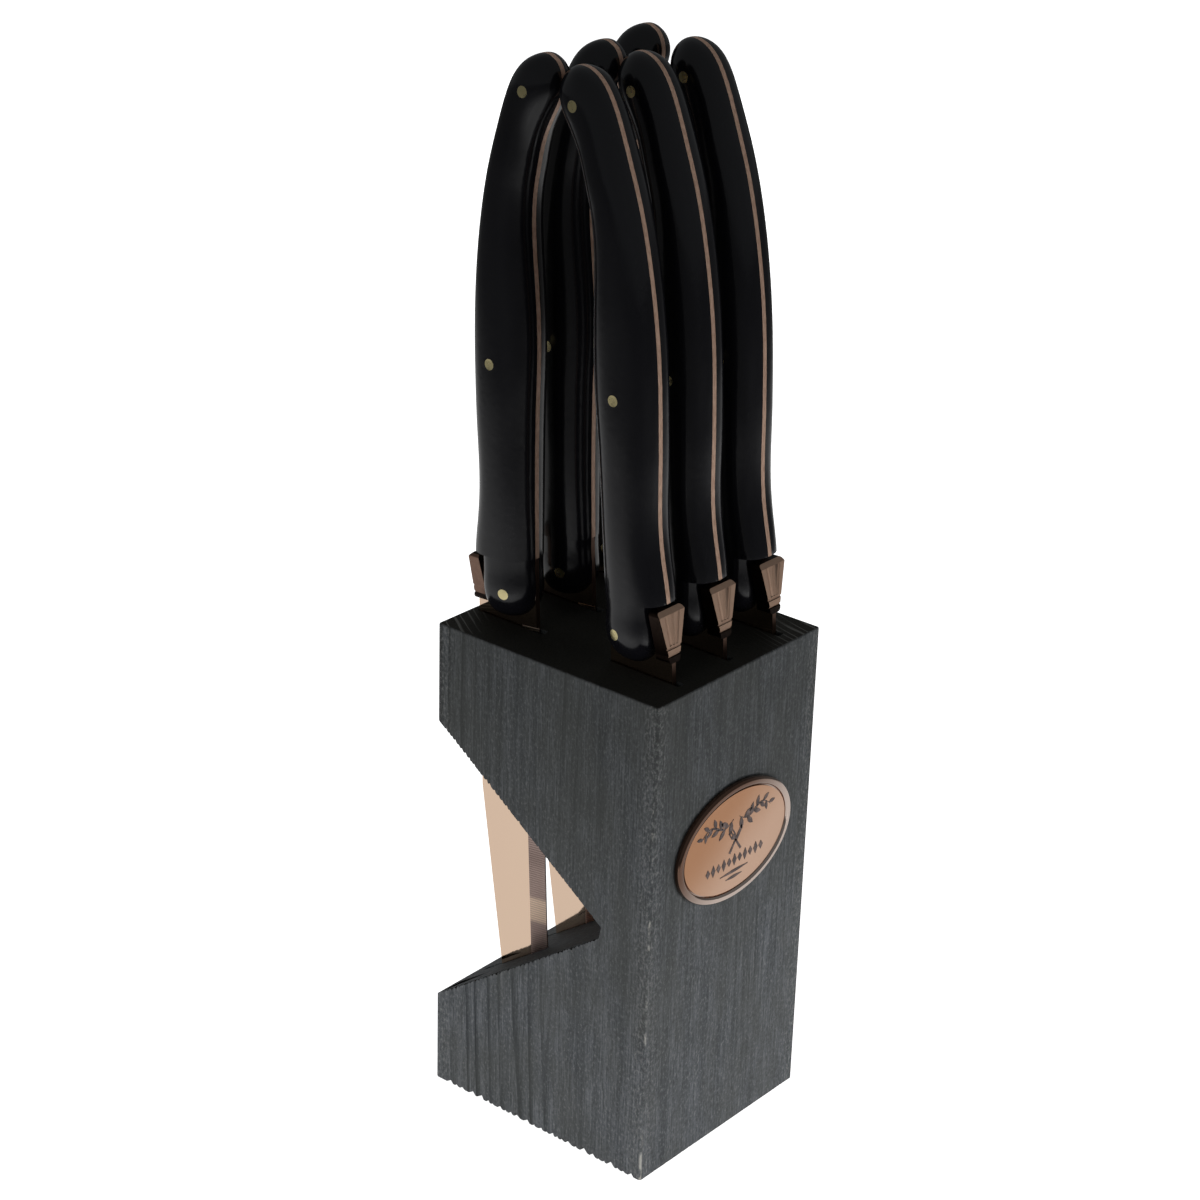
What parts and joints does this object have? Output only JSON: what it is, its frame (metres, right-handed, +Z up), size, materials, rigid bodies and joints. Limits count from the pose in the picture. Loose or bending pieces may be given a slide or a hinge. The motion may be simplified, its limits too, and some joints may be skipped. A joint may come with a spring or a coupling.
{
  "type": "knife block with knives",
  "caption": "Small wooden block with a V notch cut from the back, holding table knives with black riveted handles upright in two rows",
  "frame": {"origin": "centre of the block's base", "axes": "+Z up, +X along the badge face to the right as seen from the badge, +Y towards the notched back; the blades stand in planes of constant X"},
  "size_m": [0.0554, 0.0626, 0.2398],
  "materials": {
    "block_wood": "dark stained open-grained wood, oiled",
    "badge_pad": "black adhesive foam",
    "badge_frame": "dark copper plate, polished rim",
    "badge_plate": "light copper, satin",
    "blade_steel": "copper-coloured coated steel, near mirror",
    "spine_plate": "cast plate, copper coloured, polished",
    "handle": "gloss black",
    "pins": "polished flush rivets"
  },
  "bodies": {
    "block": {"block_board_left": "block_wood", "block_board_middle_left": "block_wood", "block_board_middle_right": "block_wood", "block_board_right": "block_wood", "badge_adhesive_pad": "badge_pad", "badge_frame": "badge_frame", "badge_plate": "badge_plate"},
    "knife_front_left": {"knife_front_left_blade": "blade_steel", "knife_front_left_spine_plate": "spine_plate", "knife_front_left_scale_left": "handle", "knife_front_left_scale_right": "handle", "knife_front_left_pins": "pins"},
    "knife_front_middle": {"knife_front_middle_blade": "blade_steel", "knife_front_middle_spine_plate": "spine_plate", "knife_front_middle_scale_left": "handle", "knife_front_middle_scale_right": "handle", "knife_front_middle_pins": "pins"},
    "knife_front_right": {"knife_front_right_blade": "blade_steel", "knife_front_right_spine_plate": "spine_plate", "knife_front_right_scale_left": "handle", "knife_front_right_scale_right": "handle", "knife_front_right_pins": "pins"},
    "knife_back_left": {"knife_back_left_blade": "blade_steel", "knife_back_left_spine_plate": "spine_plate", "knife_back_left_scale_left": "handle", "knife_back_left_scale_right": "handle", "knife_back_left_pins": "pins"},
    "knife_back_middle": {"knife_back_middle_blade": "blade_steel", "knife_back_middle_spine_plate": "spine_plate", "knife_back_middle_scale_left": "handle", "knife_back_middle_scale_right": "handle", "knife_back_middle_pins": "pins"},
    "knife_back_right": {"knife_back_right_blade": "blade_steel", "knife_back_right_spine_plate": "spine_plate", "knife_back_right_scale_left": "handle", "knife_back_right_scale_right": "handle", "knife_back_right_pins": "pins"}
  },
  "joints": [
    {"name": "knife_front_left_lift", "type": "slide", "parent": "block", "child": "knife_front_left", "axis": [0, 0.0349, 0.9994], "range_m": [0, 0.115]},
    {"name": "knife_front_middle_lift", "type": "slide", "parent": "block", "child": "knife_front_middle", "axis": [0, 0.0349, 0.9994], "range_m": [0, 0.115]},
    {"name": "knife_front_right_lift", "type": "slide", "parent": "block", "child": "knife_front_right", "axis": [0, 0.0349, 0.9994], "range_m": [0, 0.115]},
    {"name": "knife_back_left_lift", "type": "slide", "parent": "block", "child": "knife_back_left", "axis": [0, 0.0349, 0.9994], "range_m": [0, 0.115]},
    {"name": "knife_back_middle_lift", "type": "slide", "parent": "block", "child": "knife_back_middle", "axis": [0, 0.0349, 0.9994], "range_m": [0, 0.115]},
    {"name": "knife_back_right_lift", "type": "slide", "parent": "block", "child": "knife_back_right", "axis": [0, 0.0349, 0.9994], "range_m": [0, 0.115]}
  ]
}
